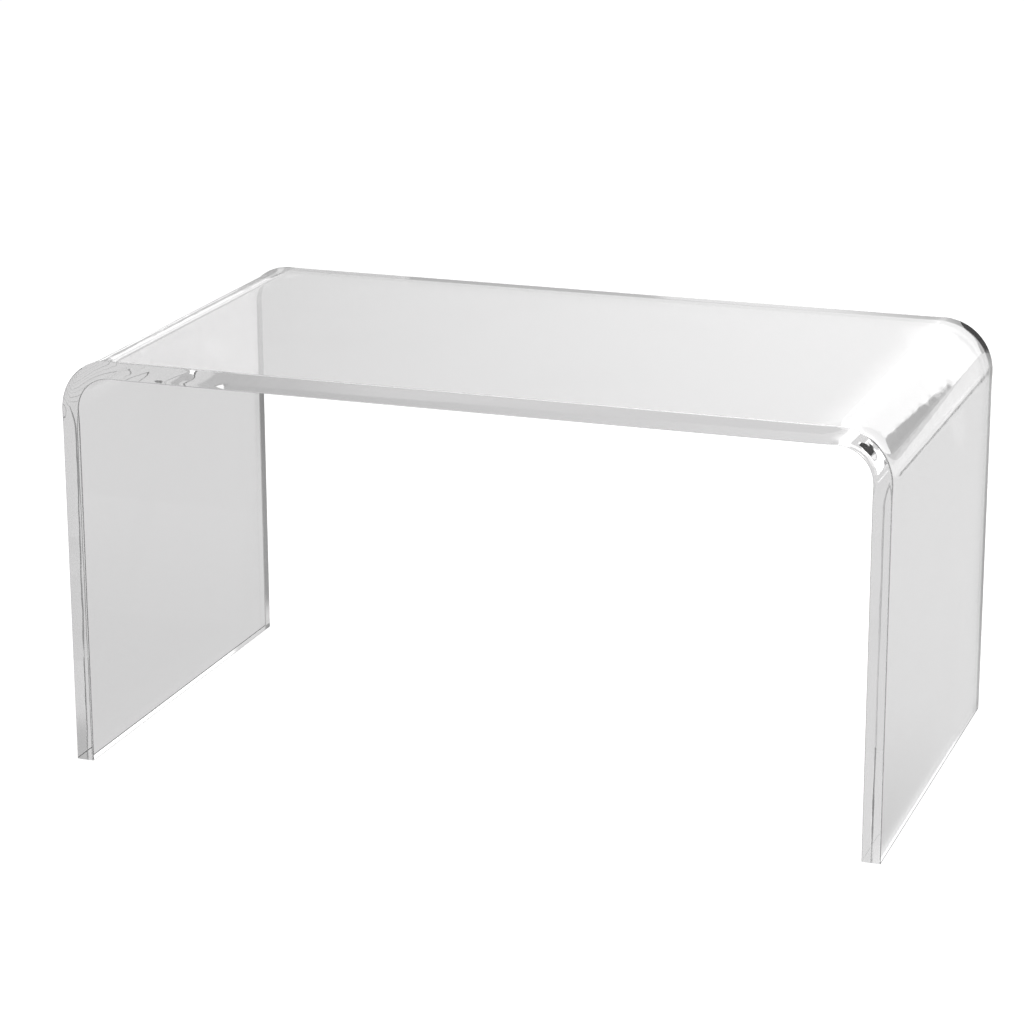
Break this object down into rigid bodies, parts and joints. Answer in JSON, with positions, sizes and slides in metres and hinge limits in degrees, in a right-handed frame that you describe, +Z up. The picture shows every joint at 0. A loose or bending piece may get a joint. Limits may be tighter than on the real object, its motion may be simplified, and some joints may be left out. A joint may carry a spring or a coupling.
{
  "type": "bent acrylic sheet table",
  "caption": "Low table made of one thick clear acrylic sheet, heat-bent into an inverted U whose flat top runs over rounded bends into full-depth legs on small clear pads.",
  "frame": {"origin": "on the floor, under the middle of the top", "axes": "+X along the top's length to the right, +Y to the rear, +Z up"},
  "size_m": [0.914, 0.49, 0.462],
  "materials": {
    "clear_acrylic": "polished, clear",
    "clear_pad": "satin, translucent"
  },
  "bodies": {
    "root": {"bent_sheet": "clear_acrylic", "pad_front_left": "clear_pad", "pad_front_right": "clear_pad", "pad_rear_left": "clear_pad", "pad_rear_right": "clear_pad"}
  },
  "joints": []
}
